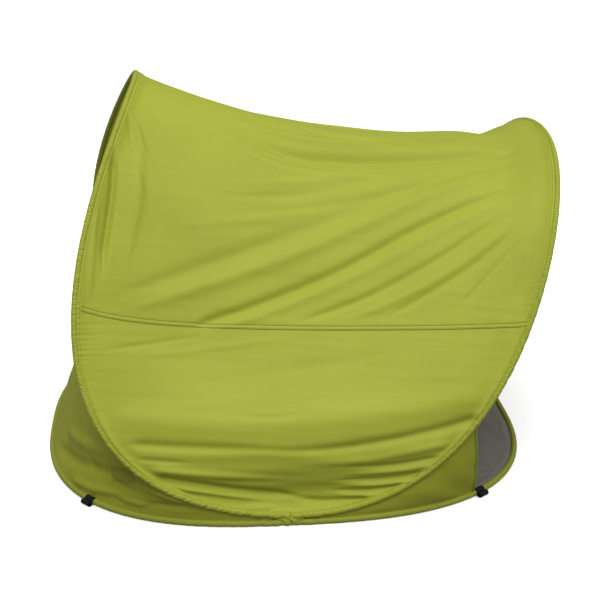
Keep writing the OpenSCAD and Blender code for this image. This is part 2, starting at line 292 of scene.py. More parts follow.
# Tension folds of one side of the canopy. Each is (its (t, s) points, height in mm, width in mm, and the
# shares of its length over which its two ends fade).
SIDE_FOLDS = [
    ([(75, 0.96), (66, 0.73), (58, 0.55), (52, 0.39), (46, 0.18), (43, 0.05)], -7.5, 24, (0.2, 0.2)),
    ([(72, 0.96), (62, 0.73), (55, 0.58), (49, 0.42), (44, 0.22), (41, 0.08)], 7.5, 21, (0.2, 0.2)),
    ([(64, 0.95), (55, 0.73), (47, 0.56), (42, 0.39), (39, 0.24)], -12, 15, (0.25, 0.08)),
    ([(61, 0.95), (52, 0.74), (46, 0.60), (41, 0.43), (38.6, 0.30)], 3, 13, (0.2, 0.15)),
    ([(59, 0.95), (52, 0.84), (47, 0.75), (42, 0.62), (38.6, 0.46)], -7.5, 12, (0.3, 0.2)),
    ([(57, 0.96), (50, 0.87), (45, 0.79), (41, 0.68), (38.4, 0.57)], 4.5, 13, (0.3, 0.2)),
    ([(55, 0.96), (47, 0.86), (42, 0.76), (38.2, 0.66)], -4.5, 10, (0.3, 0.2)),
    ([(51, 0.95), (46, 0.90), (40, 0.84), (38, 0.82)], -3.5, 8, (0.3, 0.3)),
    ([(53, 0.97), (44, 0.955), (38, 0.94)], -4, 10, (0.3, 0.3)),
    ([(80, 0.16), (72, 0.31), (69, 0.48), (69, 0.74)], 5.5, 10, (0.3, 0.3)),
    ([(77, 0.18), (71, 0.29), (67, 0.42), (67, 0.66)], 3.5, 8, (0.3, 0.3)),
    ([(78, 0.24), (73, 0.38), (74, 0.58), (77, 0.95)], -27, 25, (0.3, 0.25)),
    ([(84, 0.18), (79, 0.38), (80, 0.70)], 13, 18, (0.4, 0.4)),
    ([(87, 0.34), (83, 0.48), (83, 0.68)], -6, 16, (0.4, 0.4)),
    ([(60, 0.22), (62, 0.43), (66, 0.60)], -5, 16, (0.5, 0.5)),
    ([(63, 0.22), (65, 0.43), (69, 0.66)], 4, 14, (0.5, 0.5)),
    ([(57, 0.25), (60, 0.53), (68, 0.80)], -5, 16, (0.5, 0.4)),
    ([(54, 0.14), (57, 0.40), (62, 0.62)], 3.5, 16, (0.5, 0.5)),
    ([(75, 0.008), (65, 0.09), (54, 0.20)], 4, 6, (0.1, 0.4)),
    ([(74, 0.006), (63, 0.078), (51, 0.18)], -4.5, 9, (0.1, 0.5)),
    ([(79, 0.03), (72, 0.10), (62, 0.20), (56, 0.30)], -2.5, 12, (0.3, 0.5)),
    ([(76, 0.02), (60, 0.085), (46, 0.10)], 8.5, 16, (0.35, 0.35)),
    ([(67, 0.006), (63, 0.02), (59, 0.033), (54, 0.042), (49.5, 0.046), (45, 0.056)], -17, 10, (0.2, 0.3)),
    ([(70, 0.03), (57, 0.125), (46, 0.15)], -2.5, 20, (0.4, 0.4)),
    ([(58, 0.010), (53, 0.018), (47, 0.027), (42, 0.03)], 7, 8, (0.3, 0.3)),
    ([(36, 0.03), (38, 0.30)], -2.5, 9, (0.4, 0.5)),
    ([(35, 0.08), (37, 0.50)], 2, 12, (0.5, 0.5)),
    ([(31, 0.18), (34, 0.80)], -2.5, 18, (0.5, 0.5)),
    ([(28, 0.10), (29, 0.60)], 2.5, 20, (0.5, 0.5)),
    ([(27, 0.30), (26, 0.44), (26.5, 0.56)], -3.7, 7, (0.5, 0.5)),
    ([(27, 0.02), (25.5, 0.38), (25.5, 0.72), (26, 0.99)], 7, 34, (0.12, 0.08)),
    ([(22.6, 0.04), (21.8, 0.26), (21.0, 0.52)], -9, 13, (0.12, 0.5)),
    ([(21.2, 0.34), (20.6, 0.60), (21.6, 0.85), (22.8, 1.0)], -11, 13, (0.5, 0.05)),
    ([(18.6, 0.45), (18.0, 0.70), (19.4, 0.98)], 8, 14, (0.5, 0.1)),
    ([(19.8, 0.03), (19.0, 0.22)], -5, 6, (0.2, 0.5)),
    ([(17.8, 0.04), (16.2, 0.25), (14.6, 0.52)], 8, 12, (0.12, 0.5)),
    ([(17.2, 0.60), (16.4, 0.82), (17.0, 0.98)], -7, 7, (0.5, 0.1)),
    ([(15.2, 0.64), (15.0, 0.85), (15.6, 0.99)], 6, 7, (0.5, 0.1)),
    ([(16.2, 0.03), (12.8, 0.22), (10.0, 0.46), (8.6, 0.62)], -14, 11, (0.08, 0.3)),
    ([(13.4, 0.05), (10.6, 0.22), (8.2, 0.40)], 7, 8, (0.15, 0.4)),
    ([(13.8, 0.60), (13.4, 0.84), (14.0, 1.0)], -7, 7, (0.5, 0.06)),
    ([(12.2, 0.68), (12.0, 0.86), (12.6, 1.0)], 5, 6, (0.4, 0.06)),
    ([(11.0, 0.62), (10.6, 0.84), (11.5, 1.0)], -7, 6, (0.5, 0.06)),
    ([(9.4, 0.70), (9.2, 0.88), (9.8, 0.99)], 5, 6, (0.4, 0.1)),
    ([(9.0, 0.48), (7.6, 0.70), (8.2, 0.96)], -9, 10, (0.4, 0.12)),
    ([(6.3, 0.14), (6.0, 0.42)], 5, 7, (0.3, 0.4)),
]


def two_sided_folds(surface, base, folds, across):
    """Height of the left side's folds, and of a flatter, wider copy that across() puts on the right side."""
    out = np.zeros(base.shape[:-1])
    for path, height, width, ends in folds:
        height, width = height / 1000, width / 1000
        out += fold_height(surface, base, path, height, width, ends)
        far = [across(t, s) for t, s in path]
        out += fold_height(surface, base, far, 0.85 * height, 1.1 * width, ends)
    return out


def edge_gathers(arc, depth, wavelength, reach, seed):
    """Short ripples square to a sewn edge. They fade with depth, the distance from that edge."""
    r = np.random.default_rng(seed)
    out = 0
    for k in range(3):
        w = wavelength * (0.7 + 0.35 * k)
        out = out + np.sin(2 * math.pi * arc / w + r.uniform(0, 6) + 1.4 * np.sin(arc * 9 + k)) / (1 + k)
    strength = 0.55 + 0.45 * np.sin(arc * 6.3 + seed) * np.sin(arc * 2.1 + 1)
    return out * strength * np.exp(-depth / reach) * smooth(depth / 0.006)


def flat_at_edges(height, depth):
    """Lets a panel's relief fade out over its last 8 mm, so that the sewn edge follows its rod."""
    return height * smooth(depth / 0.008 + 0.1)


def seam_at(s):
    """Degrees up the arches at which the seam crosses. It climbs to the rear and kicks up at its end."""
    return SEAM_FRONT + SEAM_RISE * (1 - s) + SEAM_KICK * (1 - s) ** 11


def canopy_far_side(t, s):
    """The point across from (t, s), moved a little so that the two sides differ."""
    return 180 - t + 0.6 * math.sin(7 * s), min(0.99, 0.97 * s + 0.015)


def canopy_height(t, s):
    """How far the cloth stands off its smooth saddle, in metres, positive outwards."""
    base = canopy_base(t, s)
    near = np.minimum(t, 180 - t)
    width = np.linalg.norm(front_arch(t) - rear_arch(t), axis=-1)
    rear_depth, front_depth = s * width, (1 - s) * width
    depth = np.minimum(rear_depth, front_depth)
    inner = smooth(depth / 0.05)
    low_edge = 0.35 + 0.65 * smooth((50 - near) / 25)
    low_side = smooth((26 - near) / 8)
    rear_arc, front_arc = arc_length(rear_arch, t), arc_length(front_arch, t)
    rear_gathers = edge_gathers(rear_arc, rear_depth, wavelength=0.021, reach=0.035, seed=3)
    front_gathers = edge_gathers(front_arc, front_depth, wavelength=0.024, reach=0.030, seed=5)
    low_belly = bump(near, 23, 6) - bump(near, 9, 5)
    ridge_dip = bump(s, 0.89, 0.055) * smooth((near - 45) / 25)

    out = two_sided_folds(canopy_base, base, SIDE_FOLDS, canopy_far_side)
    out += low_edge * (0.0016 * rear_gathers + 0.0013 * front_gathers)
    out += 0.0005 * inner * ripple(base, (0, 1, 0.05), wavelength=0.040, seed=11, stretch=12)
    out += 0.0030 * inner * ripple(base, (0.1, 0.9, 0.35), wavelength=0.190, seed=12)
    out += 0.0016 * inner * low_side * ripple(base, (0, 1, 0), wavelength=0.038, seed=13, stretch=9)
    out += 0.013 * low_belly * halfway(s) ** 0.5
    out -= 0.020 * ridge_dip
    edge_lift = 0.0065 * bump(depth, 0.011, 0.015)
    return flat_at_edges(out, depth) + edge_lift


def seam_relief(t, s):
    """The felled seam: a flat band of doubled cloth between two sunk rows of stitches."""
    half_band, row_at, row_width, pucker_width = 0.0085, 0.006, 0.0026, 0.022
    near = np.minimum(t, 180 - t)
    d = (near - seam_at(s)) * SEAM_DEGREE
    band = 0.0012 * smooth((half_band - np.abs(d)) / 0.002)
    rows = 0.0016 * (bump(d, row_at, row_width) + bump(d, -row_at, row_width))
    pucker = 0.0011 * np.sin(s * 170 + 2 * np.sin(s * 31)) * bump(d, 0, pucker_width)
    tight = 0.25 + smooth((s - 0.6) / 0.3) + bump(s, 0.03, 0.02) + bump(s, 0.26, 0.03)
    return band - rows + pucker * tight


def canopy(t, s):
    t, s = same_shape(t, s)
    n = -normal_of(canopy_base, t, s)
    return canopy_base(t, s) + n * (canopy_height(t, s) + seam_relief(t, s))[..., None]


# Folds of the left half of the back wall, in the same form. Here s goes from the floor to the rear arch.
BACK_FOLDS = [
    ([(78, 0.03), (55, 0.10), (38, 0.22), (24, 0.5)], 9, 20, (0.3, 0.3)),
    ([(74, 0.10), (54, 0.18), (36, 0.32)], -8, 18, (0.3, 0.4)),
    ([(60, 0.02), (45, 0.06), (30, 0.15)], -7, 12, (0.2, 0.4)),
    ([(66, 0.30), (50, 0.42), (34, 0.70)], 6, 22, (0.4, 0.4)),
    ([(70, 0.55), (54, 0.62), (40, 0.90)], -6, 24, (0.4, 0.3)),
    ([(47, 0.02), (50, 0.16), (58, 0.30)], 3, 15, (0.1, 0.6)),
    ([(47, 0.02), (43, 0.14), (40, 0.30)], -3, 14, (0.1, 0.6)),
    ([(52, 0.30), (42, 0.36), (32, 0.46)], -3.5, 13, (0.4, 0.4)),
    ([(44, 0.16), (33, 0.20), (24, 0.28)], 3.5, 12, (0.4, 0.4)),
    ([(40, 0.08), (28, 0.12), (18, 0.22)], -3.5, 10, (0.3, 0.4)),
    ([(30, 0.05), (18, 0.30), (10, 0.6)], 5, 11, (0.3, 0.4)),
    ([(26, 0.30), (16, 0.55), (9, 0.8)], -5, 10, (0.3, 0.4)),
    ([(90, 0.96), (82, 0.70), (80, 0.40)], 5, 22, (0.2, 0.6)),
    ([(84, 0.96), (72, 0.72), (66, 0.44)], -6, 20, (0.2, 0.6)),
    ([(76, 0.97), (62, 0.74), (54, 0.50)], 5, 16, (0.2, 0.6)),
]


def back_far_side(t, s):
    """The point across from (t, s)."""
    return 180 - t, s


def back_wall(t, s):
    t, s = same_shape(t, s)
    base = back_base(t, s)
    width = np.linalg.norm(rear_arch(t) - rear_hoop(t), axis=-1)
    floor_depth, arch_depth = s * width, (1 - s) * width
    depth = np.minimum(floor_depth, arch_depth)
    inner = smooth(depth / 0.05)
    arc = arc_length(rear_arch, t)
    arch_gathers = edge_gathers(arc, arch_depth, wavelength=0.022, reach=0.03, seed=8)
    floor_gathers = edge_gathers(arc * 1.1, floor_depth, wavelength=0.026, reach=0.03, seed=9)

    height = two_sided_folds(back_base, base, BACK_FOLDS, back_far_side)
    height += 0.0016 * (arch_gathers + floor_gathers)
    height += 0.0012 * inner * ripple(base, (0.3, 0.2, 1), wavelength=0.11, seed=21, stretch=9)
    height += 0.0009 * inner * ripple(base, (0.8, 0.6, 0.2), wavelength=0.05, seed=23)
    height += 0.0050 * inner * ripple(base, (0.5, 0.2, 1), wavelength=0.30, seed=22)
    return base + normal_of(back_base, t, s) * flat_at_edges(height, depth)[..., None]


def wing(k, s):
    k, s = same_shape(k, s)
    base = wing_base(k, s)
    width = np.linalg.norm(wing_base(k, np.ones_like(s)) - wing_base(k, np.zeros_like(s)), axis=-1)
    inner = smooth(np.minimum(s, 1 - s) * width / 0.03)
    height = 0.0025 * inner * ripple(base, (0, 1, 0.25), wavelength=0.09, seed=31)
    height += 0.010 * inner * np.sin(math.pi * s) * smooth(k)
    height += 0.0011 * inner * ripple(base, (0, 0.3, 1), wavelength=0.04, seed=32)
    n = normal_of(wing_base, k, s, du=0.004)
    return base + n * height[..., None]


# ---------------------------------------------------------------- meshes

def mesh_object(name, points, faces, uv):
    """A smooth-shaded mesh with one UV, in metres, for each point."""
    mesh = bpy.data.meshes.new(name)
    mesh.from_pydata([tuple(p) for p in points], [], faces)
    layer = mesh.uv_layers.new(name="cloth")
    corners = np.array([c.vertex_index for c in mesh.loops])
    layer.data.foreach_set("uv", np.asarray(uv, np.float32)[corners].ravel())
    mesh.shade_smooth()
    mesh.update()
    obj = bpy.data.objects.new(name, mesh)
    bpy.context.scene.collection.objects.link(obj)
    return obj


def grid_faces(rows, cols, wrap=False):
    out = []
    last = cols if wrap else cols - 1
    for i in range(rows - 1):
        for j in range(last):
            k = (j + 1) % cols
            out.append((i * cols + j, i * cols + k, (i + 1) * cols + k, (i + 1) * cols + j))
    return out


def tube_faces(rows, cols, flipped=False):
    """Faces of a closed tube: rings of points joined up, with a flat cap at each end."""
    faces = grid_faces(rows, cols, wrap=True)
    faces.append(tuple(range(cols - 1, -1, -1)))
    faces.append(tuple((rows - 1) * cols + j for j in range(cols)))
    return [f[::-1] for f in faces] if flipped else faces


def cloth_sheet(name, surface, us, vs):
    """A sheet of cloth over a grid, with UVs in metres along the two directions of the weave."""
    u, v = np.meshgrid(us, vs, indexing="ij")
    p = surface(u, v)
    rows, cols = u.shape
    along = np.linalg.norm(np.diff(p, axis=0), axis=-1)
    across = np.linalg.norm(np.diff(p, axis=1), axis=-1)
    uv_u = np.vstack([np.zeros(cols), np.cumsum(along, axis=0)])
    uv_v = np.hstack([np.zeros((rows, 1)), np.cumsum(across, axis=1)])
    uv_u = np.repeat(uv_u.mean(1, keepdims=True), cols, 1)
    uv_v = uv_v - uv_v[:, -1:] / 2
    uv = np.stack([uv_u, uv_v], -1).reshape(-1, 2)
    return mesh_object(name, p.reshape(-1, 3), grid_faces(rows, cols), uv)


def path_frame(path, toward):
    """Two axes across a path at each of its points. The first faces up for UP, or else the given point."""
    tangent = unit(np.gradient(path, axis=0))
    if toward is UP:
        w = np.broadcast_to(UP, path.shape)
    else:
        w = toward - path
    a = unit(w - (w * tangent).sum(-1, keepdims=True) * tangent)
    return a, np.cross(tangent, a)


# ---------------------------------------------------------------- materials

def new_material(name):
    material = bpy.data.materials.new(name)
    material.use_nodes = True
    tree = material.node_tree
    shader = tree.nodes["Principled BSDF"]
    return material, tree, shader


def node(tree, kind, **settings):
    n = tree.nodes.new(kind)
    for key, value in settings.items():
        if key.startswith("in_"):
            n.inputs[key[3:].replace("_", " ")].default_value = value
        else:
            setattr(n, key, value)
    return n


def noise(tree, vector, scale, detail=3.0, roughness=0.55):
    n = node(tree, "ShaderNodeTexNoise", in_Scale=scale, in_Detail=detail, in_Roughness=roughness)
    tree.links.new(vector, n.inputs["Vector"])
    return n.outputs["Fac"]


def math_node(tree, operation, a, b=None):
    """A calculation on one or two values, each a number or an output of another node."""
    n = node(tree, "ShaderNodeMath", operation=operation)
    for i, value in enumerate((a, b)):
        if value is None:
            continue
        if isinstance(value, (int, float)):
            n.inputs[i].default_value = value
        else:
            tree.links.new(value, n.inputs[i])
    return n.outputs[0]


def add(tree, a, b):
    return math_node(tree, "ADD", a, b)


def times(tree, a, b):
    return math_node(tree, "MULTIPLY", a, b)


def wave(tree, along, period):
    return math_node(tree, "SINE", times(tree, along, 2 * math.pi / period))


def object_place(tree):
    return node(tree, "ShaderNodeTexCoord").outputs["Object"]


def parts_of(tree, vector):
    n = node(tree, "ShaderNodeSeparateXYZ")
    tree.links.new(vector, n.inputs[0])
    return n.outputs["X"], n.outputs["Y"], n.outputs["Z"]


def cloth_uv(tree):
    """Metres along the two directions of the weave."""
    return node(tree, "ShaderNodeUVMap", uv_map="cloth").outputs["UV"]


def stretched(tree, vector, scale, turn=0):
    """A vector turned about Z by some degrees and scaled along each axis."""
    n = node(tree, "ShaderNodeMapping")
    n.inputs["Rotation"].default_value = (0, 0, math.radians(turn))
    n.inputs["Scale"].default_value = scale
    tree.links.new(vector, n.inputs["Vector"])
    return n.outputs["Vector"]


def weave(tree, uv, period):
    """Height of a plain weave, from 0 to 1."""
    u, v, _ = parts_of(tree, uv)
    waves = times(tree, wave(tree, u, period), wave(tree, v, period))
    return times(tree, add(tree, waves, 1.0), 0.5)


def ramp(tree, factor, stops):
    n = node(tree, "ShaderNodeValToRGB")
    elements = n.color_ramp.elements
    while len(elements) < len(stops):
        elements.new(0.5)
    for element, (position, colour) in zip(elements, stops):
        element.position = position
        element.color = (*colour, 1)
    tree.links.new(factor, n.inputs["Fac"])
    return n.outputs["Color"]


def shade(colour, factor):
    return tuple(min(1, c * factor) for c in colour)


def add_relief(tree, shader, height, strength, distance):
    n = node(tree, "ShaderNodeBump", in_Strength=strength, in_Distance=distance)
    tree.links.new(height, n.inputs["Height"])
    tree.links.new(n.outputs["Normal"], shader.inputs["Normal"])


def slant_creases(tree, uv):
    """Sharp creases that run slantwise across a gathered sleeve."""
    slanted = stretched(tree, uv, (115, 17, 1), turn=28)
    waves = math_node(tree, "SUBTRACT", noise(tree, slanted, 1.0, detail=2.0), 0.5)
    return math_node(tree, "POWER", math_node(tree, "ABSOLUTE", waves), 0.7)


def fabric(name, colour, period=0.0016, roughness=0.62, sheen=0.06, relief=0.0004, creases=38, gathered=0):
    """Thin woven cloth: weave and uneven yarns in the bump, slow mottling and yarn streaks in the colour."""
    material, tree, shader = new_material(name)
    uv = cloth_uv(tree)
    place = object_place(tree)
    mottle = noise(tree, place, 3.2, detail=4)
    crumple = noise(tree, place, creases, detail=5, roughness=0.6)
    yarns_along = noise(tree, stretched(tree, uv, (6, 420, 1)), 1.0, detail=2)
    yarns_across = noise(tree, stretched(tree, uv, (420, 6, 1)), 1.0, detail=2)
    yarns = add(tree, yarns_along, yarns_across)

    tone = add(tree, times(tree, mottle, 0.5), times(tree, yarns, 0.25))
    stops = [(0.30, shade(colour, 0.92)), (0.50, colour), (0.72, shade(colour, 1.08))]
    tree.links.new(ramp(tree, tone, stops), shader.inputs["Base Color"])
    rough = add(tree, times(tree, crumple, 0.16), roughness - 0.08)
    tree.links.new(rough, shader.inputs["Roughness"])

    height = add(tree, times(tree, crumple, 1.3), times(tree, yarns, 0.35))
    if gathered:
        height = add(tree, height, times(tree, slant_creases(tree, uv), gathered))
    height = add(tree, times(tree, weave(tree, uv, period), 0.25), height)
    add_relief(tree, shader, height, strength=0.55, distance=relief)
    shader.inputs["Sheen Weight"].default_value = sheen
    shader.inputs["Sheen Roughness"].default_value = 0.45
    shader.inputs["Sheen Tint"].default_value = (*shade(colour, 2), 1)
    shader.inputs["Specular IOR Level"].default_value = 0.22
    return material


def paint_shade_in_box(material, low, high, slant, tone):
    """Painted shade: darkens a cloth inside a slanted box, for the shadow that a second layer behind it casts
    through the thin cloth.
    """
    tree = material.node_tree
    shader = tree.nodes["Principled BSDF"]
    cloth_colour = shader.inputs["Base Color"].links[0].from_socket
    x, y, z = parts_of(tree, object_place(tree))
    slanted_z = add(tree, times(tree, y, slant), z)
    inside = 1.0
    for across, a, b in zip((x, y, slanted_z), low, high):
        within = node(tree, "ShaderNodeMath", operation="COMPARE")
        tree.links.new(across, within.inputs[0])
        within.inputs[1].default_value = (a + b) / 2
        within.inputs[2].default_value = (b - a) / 2
        inside = times(tree, within.outputs[0], inside)
    mixed = node(tree, "ShaderNodeMix", data_type="RGBA", blend_type="MULTIPLY")
    tree.links.new(inside, mixed.inputs[0])
    tree.links.new(cloth_colour, mixed.inputs[6])
    mixed.inputs[7].default_value = (tone, tone, tone, 1)
    tree.links.new(mixed.outputs[2], shader.inputs["Base Color"])


def webbing(name, colour):
    """Woven strap: a bold herringbone rib across its width."""
    material, tree, shader = new_material(name)
    along, across, _ = parts_of(tree, cloth_uv(tree))
    zigzag = math_node(tree, "PINGPONG", across, 0.004)
    rib = wave(tree, add(tree, along, zigzag), 0.0016)
    fuzz = noise(tree, object_place(tree), 900, detail=3)
    height = add(tree, times(tree, rib, 0.5), fuzz)
    stops = [(0.2, shade(colour, 0.6)), (0.7, colour), (1.0, shade(colour, 1.9))]
    tree.links.new(ramp(tree, height, stops), shader.inputs["Base Color"])
    add_relief(tree, shader, height, strength=0.8, distance=0.0004)
    shader.inputs["Roughness"].default_value = 0.6
    shader.inputs["Specular IOR Level"].default_value = 0.15
    return material


def hard(name, colour, metallic, roughness, scale, stretch):
    """Rod or tube with fine drawn lines along X."""
    material, tree, shader = new_material(name)
    lines = noise(tree, stretched(tree, object_place(tree), (1 / stretch, 1, 1)), scale, detail=4)
    tone = ramp(tree, lines, [(0.3, shade(colour, 0.8)), (0.7, shade(colour, 1.2))])
    tree.links.new(tone, shader.inputs["Base Color"])
    rough = add(tree, times(tree, lines, 0.2), roughness - 0.1)
    tree.links.new(rough, shader.inputs["Roughness"])
    add_relief(tree, shader, lines, strength=0.3, distance=0.0002)
    shader.inputs["Metallic"].default_value = metallic
    return material


canopy_cloth = fabric("canopy_cloth", (0.296, 0.328, 0.029))
# Painted shade: the back wall, wings and pocket are the canopy's cloth, given a darker colour for the shade
# they stand in.
wall_cloth = fabric("wall_cloth", (0.262, 0.284, 0.020), sheen=0.02, relief=0.0008)
# Painted shade: the pocket's shadow, seen through the thin wall cloth.
paint_shade_in_box(
    wall_cloth, low=(-0.78, 0.432, 0.278), high=(-0.50, 0.503, 0.330), slant=0.375, tone=0.78
)
sleeve_cloth = fabric("sleeve_cloth", (0.285, 0.315, 0.028), roughness=0.58, relief=0.0006, gathered=20)
binding_tape = fabric("binding_tape", (0.215, 0.240, 0.028), period=0.0012, roughness=0.55)
floor_cloth = fabric(
    "floor_cloth", (0.190, 0.187, 0.158), period=0.0022, roughness=0.46, sheen=0.1, relief=0.0110, creases=21
)
# Painted shade: the floor sleeves are the sleeve cloth made darker for the low light near the ground.
painted_shade_cloth = fabric("painted_shade_sleeve_cloth", (0.220, 0.240, 0.022), roughness=0.58, relief=0.0006)
thread = fabric("thread", (0.115, 0.128, 0.018), period=0.0009, roughness=0.7)
black_webbing = webbing("black_webbing", (0.006, 0.006, 0.008))
rod_material = hard("glassfibre_rod", (0.03, 0.03, 0.03), metallic=0.0, roughness=0.35, scale=900, stretch=30)
steel = hard("steel_tube", (0.55, 0.55, 0.56), metallic=1.0, roughness=0.35, scale=1400, stretch=20)


def dress(obj, material):
    obj.data.materials.clear()
    obj.data.materials.append(material)
    return obj


# ---------------------------------------------------------------- stitches

def stitch_row(name, path, normal, pitch=0.0052, length=0.0036, radius=0.0006):
    """A row of short thread stitches that sit in the cloth along a path."""
    arc = running_length(path)
    count = int(arc[-1] / pitch)
    at = (np.arange(count) + 0.5) * pitch
    centre = np.stack([np.interp(at, arc, path[:, i]) for i in range(3)], -1)
    up = unit(np.stack([np.interp(at, arc, normal[:, i]) for i in range(3)], -1))
    ahead = np.stack([np.interp(at + 0.001, arc, path[:, i]) for i in range(3)], -1)
    tangent = unit(ahead - centre)
    side = np.cross(tangent, up)
    points, faces, uv = [], [], []
    profile = [(-0.5, 0.25), (-0.3, 0.9), (0.3, 0.9), (0.5, 0.25)]
    around = [(math.cos(a), math.sin(a)) for a in np.radians([0, 72, 144, 216, 288])]
    one_stitch = tube_faces(len(profile), len(around))
    for c, t, n, b in zip(centre, tangent, up, side):
        start = len(points)
        for along, size in profile:
            for x, y in around:
                points.append(c + t * (along * length) + (n * x + b * y) * (radius * size))
                uv.append((along * length, x * radius))
        faces += [tuple(start + i for i in face) for face in one_stitch]
    obj = mesh_object(name, points, faces, uv)
    return dress(obj, thread)


# ---------------------------------------------------------------- the sewn panels

DENSITY = 1.0


def steps(low, high, n):
    return np.linspace(low, high, int(n * DENSITY) + 1)


def canopy_rows():
    """Degrees up the arches, closer together where the two felled seams run."""
    lowest, highest, extra = 34.4, 43.4, 3.6
    t = np.linspace(1.6, 178.4, 4000)
    near = np.minimum(t, 180 - t)
    close = smooth(near - lowest) * smooth(highest - near)
    weight = np.cumsum(1 + extra * close)
    return np.interp(steps(weight[0], weight[-1], 700), weight, t)


def edge_steps(n, inset=0.005):
    """Fractions across a panel, closer together beside the sewn edges, which end inside the sleeves."""
    x = steps(0, 1, n)
    return inset + (1 - 2 * inset) * (0.75 * x + 0.25 * smooth(x))


canopy_sheet = cloth_sheet("canopy", canopy, canopy_rows(), edge_steps(220, 0.0018))
dress(canopy_sheet, canopy_cloth)
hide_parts("roof_panel", "left_side_panel", "right_side_panel")

back_sheet = cloth_sheet("back_wall_cloth", back_wall, steps(0.8, 179.2, 320), edge_steps(110))
dress(back_sheet, wall_cloth)
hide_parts("back_wall")


def mirrored(surface, side):
    """The surface itself for side 1, or its mirror image across the middle for side -1."""
    def out(u, v):
        p = surface(u, v)
        p[..., 0] *= side
        return p
    return out


WING_EDGE = 0.995
wings = []
for side, word in ((1, "left"), (-1, "right")):
    wing_steps = steps(0.02, WING_EDGE, 100)
    cloth = cloth_sheet(f"{word}_front_wing_cloth", mirrored(wing, side), wing_steps, edge_steps(60))
    dress(cloth, wall_cloth)
    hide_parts(f"{word}_front_wing")
    wings.append(cloth)


# ---------------------------------------------------------------- rod sleeves

def gather(angle):
    """Profile of gathered cloth, from -1 to 1: broad ridges between sharp creases."""
    return 1 - 2 * (1 - np.abs(np.sin(angle / 2))) ** 1.6


def sleeve_points(path, toward, seed, strength, arc):
    """Ruched tunnel of cloth round a rod. Its creases run slantwise, and it is drawn in at the corners."""
    a, b = path_frame(path, toward)
    phi = np.linspace(0, 2 * math.pi, 24, endpoint=False)
    r = np.random.default_rng(seed)
    creases = np.zeros((len(path), len(phi)))
    for length, turns, share in ((0.023, 3, 0.5), (0.034, 2, 0.6), (0.057, 1, 0.5), (0.017, 4, 0.3)):
        drift = 2.2 * np.sin(arc * 0.21 / length + r.uniform(0, 6)) + r.uniform(0, 6)
        fade = 0.6 + 0.4 * np.sin(arc * 0.11 / length + r.uniform(0, 6))
        turn = (2 * math.pi * arc / length + drift)[:, None] + turns * phi[None]
        creases += share * fade[:, None] * gather(turn)
    radius = SLEEVE_R * (0.93 + 0.095 * strength[:, None] * creases)
    corner = bump(np.minimum(arc, arc[-1] - arc), 0, 0.16)
    lumps = np.sin(arc * 95 + 3 * np.sin(arc * 31 + seed))[:, None] * np.cos(phi - arc[:, None] * 40)
    radius = radius * (1 + 0.16 * corner[:, None] * lumps)
    squeeze = 0.95 - 0.05 * np.cos(phi)
    round_x = np.cos(phi)[None, :, None] * a[:, None]
    round_y = (np.sin(phi) * squeeze)[None, :, None] * b[:, None]
    p = path[:, None] + radius[..., None] * (round_x + round_y)
    p[..., 2] = np.maximum(p[..., 2], LOWEST_Z)
    return p, phi


def sleeve_mesh(name, curve, toward, seed, strength, count):
    t = steps(0.03, 179.97, count)
    arc = arc_length(curve, t)
    even = np.linspace(arc[0], arc[-1], len(t))
    t = np.interp(even, arc, t)
    path = curve(t)
    p, phi = sleeve_points(path, toward, seed, strength(t), even)
    rows, cols = p.shape[:2]
    uv = np.stack(np.broadcast_arrays(even[:, None], phi[None] * SLEEVE_R), -1).reshape(-1, 2)
    obj = mesh_object(name, p.reshape(-1, 3), tube_faces(rows, cols, flipped=True), uv)
    # The floor sleeves take the darker cloth with painted shade.
    return dress(obj, painted_shade_cloth if "floor" in name else sleeve_cloth)


def low_down(amount, base):
    """Strength of a sleeve's creases: base at the top, and more by amount towards the corners."""
    return lambda t: base + amount * smooth((66 - np.minimum(t, 180 - t)) / 30)


# Each is (piece, CAD node, curve, where its top faces, crease strength, rings, seed).
sleeves = [
    ("rear_arch_tunnel", "rear_arch_sleeve", rear_arch, ARCH_CENTRE, low_down(0.8, 0.35), 1400, 41),
    ("front_arch_tunnel", "front_arch_sleeve", front_arch, ARCH_CENTRE, low_down(0.7, 0.22), 1400, 42),
    ("rear_floor_tunnel", "rear_floor_sleeve", rear_hoop, UP, low_down(0, 0.5), 1000, 43),
    ("front_floor_tunnel", "front_floor_sleeve", front_hoop, UP, low_down(0, 0.4), 1000, 44),
]
for name, cad, curve, toward, strength, count, seed in sleeves:
    tunnel = sleeve_mesh(name, curve, toward, seed, strength, count)
    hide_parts(cad)
    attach(tunnel, "front_arch" if name == "front_arch_tunnel" else "shelter_base")


# ---------------------------------------------------------------- stitching

seam_s = np.linspace(0.012, 0.988, 260)
for side_word in ("left", "right"):
    for row, offset in (("lower", -STITCH_ROW), ("upper", STITCH_ROW)):
        t = seam_at(seam_s) + offset
        if side_word == "right":
            t = 180 - t
        n = -normal_of(canopy_base, t, seam_s)
        p = canopy(t, seam_s) + n * 0.0007
        line = stitch_row(f"{side_word}_seam_{row}_stitches", p, n, radius=0.0010, length=0.0042)
        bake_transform(line)

for word, body in (("rear", "shelter_base"), ("front", "front_arch")):
    t = np.linspace(6, 174, 420)
    inset = ARCH_STITCH_INSET / np.linalg.norm(front_arch(t) - rear_arch(t), axis=-1)
    s = inset if word == "rear" else 1 - inset
    n = -normal_of(canopy_base, t, s)
    p = canopy(t, s) + n * 0.0003
    line = stitch_row(f"{word}_arch_stitches", p, n, pitch=0.0062, length=0.0042)
    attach(line, body)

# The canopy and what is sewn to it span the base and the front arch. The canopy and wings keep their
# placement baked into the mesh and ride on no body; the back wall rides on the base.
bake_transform(canopy_sheet)
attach(back_sheet, "shelter_base")
for cloth in wings:
    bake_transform(cloth)


# ---------------------------------------------------------------- wing bindings

